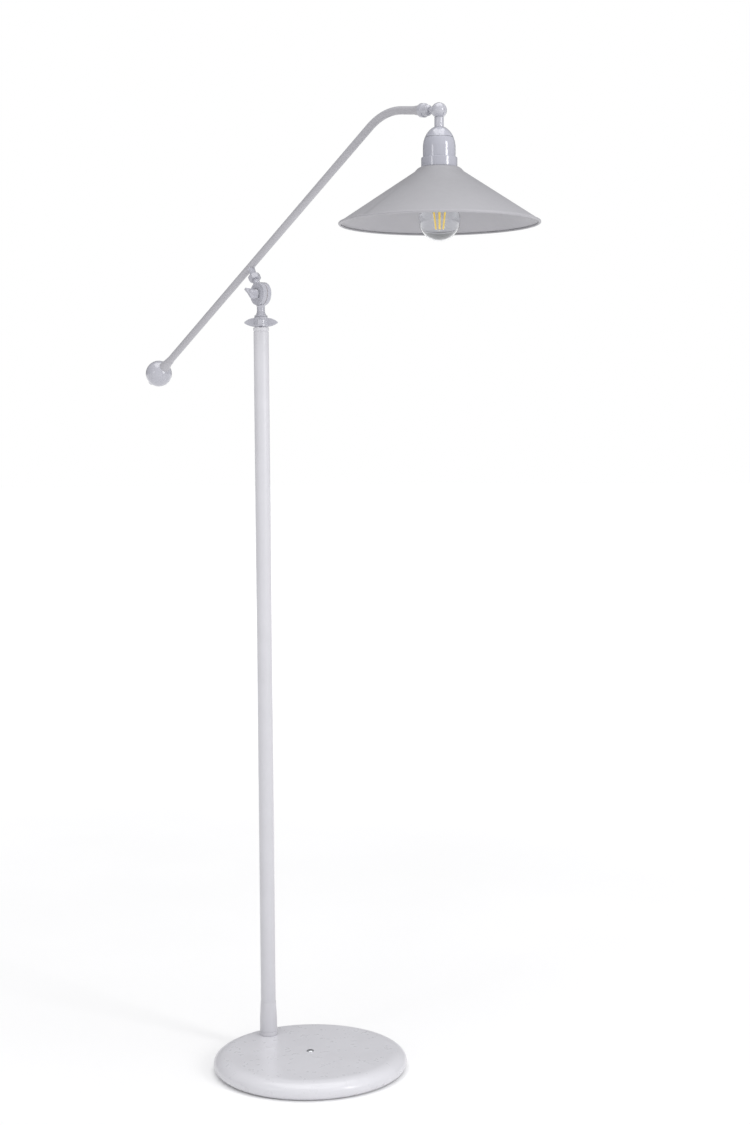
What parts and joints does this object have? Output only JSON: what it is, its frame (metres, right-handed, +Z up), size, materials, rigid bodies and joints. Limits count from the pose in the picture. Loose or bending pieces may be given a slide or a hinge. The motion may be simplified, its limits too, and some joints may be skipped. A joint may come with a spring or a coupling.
{
  "type": "adjustable arm floor lamp",
  "caption": "Floor lamp with a round weighted base, offset post, counterweighted tilting arm and a conical metal shade on a swivel.",
  "frame": {"origin": "centre of the round base, on the floor", "axes": "+Z up, +X from the post towards the lamp head, arm in the plane of X and Z as stored"},
  "size_m": [0.9021, 0.31, 1.495],
  "materials": {
    "satin_paint": "satin off-white powder coat",
    "gloss_enamel": "glossy off-white enamel",
    "shade_paint": "matt off-white powder coat",
    "cast_iron": "raw casting",
    "felt": "dark felt",
    "zinc_steel": "zinc plated",
    "brass": "turned brass",
    "fibre": "vulcanised fibre",
    "black_rubber": "moulded rubber",
    "lead_sheath": "flexible sheath",
    "skirt_plastic": "threaded moulding",
    "ceramic": "ceramic block",
    "clear_glass": "clear glass",
    "black_glass": "black glass insulator",
    "led_filament": "yellow phosphor coating"
  },
  "bodies": {
    "stand": {"base_cover": "satin_paint", "base_weight": "cast_iron", "base_plate": "zinc_steel", "base_pad": "felt", "plate_screws": "zinc_steel", "centre_screw": "zinc_steel", "centre_nut": "zinc_steel", "cord_bushing": "black_rubber", "post_nipple": "brass", "post_washer": "zinc_steel", "post_nut": "brass", "foot_collar": "satin_paint", "foot_insert": "zinc_steel", "post_tube": "satin_paint", "post_bush": "brass", "cap_ring": "satin_paint", "base_lead": "lead_sheath"},
    "hand_nut": {"hand_nut": "gloss_enamel"},
    "knuckle": {"knuckle_lower": "gloss_enamel", "spigot_washer": "zinc_steel", "spigot_nut": "brass", "tilt_bolt": "zinc_steel", "friction_washer": "fibre", "tilt_washer": "zinc_steel", "neck_lead": "lead_sheath"},
    "wing_nut": {"tilt_wing_nut": "gloss_enamel"},
    "arm": {"knuckle_upper": "gloss_enamel", "saddle_nipple": "brass", "saddle_lock_nut": "gloss_enamel", "arm_saddle": "gloss_enamel", "arm_tube": "satin_paint", "arm_lead": "lead_sheath", "counterweight_sleeve": "satin_paint", "counterweight_ball": "gloss_enamel", "counterweight_button": "gloss_enamel", "counterweight_screw": "zinc_steel", "arm_end_insert": "brass", "arm_end_ferrule": "satin_paint", "swivel_collar": "gloss_enamel", "swivel_arm_half": "gloss_enamel", "swivel_washer": "zinc_steel", "swivel_screw": "zinc_steel"},
    "head": {"swivel_head_half": "gloss_enamel", "stem_nut": "brass", "holder_cap": "satin_paint", "holder_body": "gloss_enamel", "holder_ring": "gloss_enamel", "socket_skirt": "skirt_plastic", "socket_core": "ceramic", "screw_shell": "brass", "centre_contact": "brass", "terminal_screws": "zinc_steel", "shade": "shade_paint", "shade_ring": "gloss_enamel", "head_lead": "lead_sheath", "bulb_globe": "clear_glass", "bulb_cap": "zinc_steel", "bulb_insulator": "black_glass", "bulb_stem": "clear_glass", "bulb_filaments": "led_filament"}
  },
  "joints": [
    {"name": "post_swivel", "type": "hinge", "parent": "stand", "child": "knuckle", "pos_m": [-0.112, 0, 1.2], "axis": [0, 0, 1], "range_deg": [-170, 170]},
    {"name": "hand_nut_turn", "type": "hinge", "parent": "knuckle", "child": "hand_nut", "pos_m": [-0.112, 0, 1.2], "axis": [0, 0, 1], "range_deg": [0, 180]},
    {"name": "arm_tilt", "type": "hinge", "parent": "knuckle", "child": "arm", "pos_m": [-0.112, 0, 1.245], "axis": [0, -1, 0], "range_deg": [-50, 44]},
    {"name": "wing_nut_turn", "type": "hinge", "parent": "knuckle", "child": "wing_nut", "pos_m": [-0.112, -0.018, 1.245], "axis": [0, -1, 0], "range_deg": [0, 180]},
    {"name": "head_tilt", "type": "hinge", "parent": "arm", "child": "head", "pos_m": [0.31884, 0, 1.47643], "axis": [0, -1, 0], "range_deg": [-30, 80]}
  ]
}
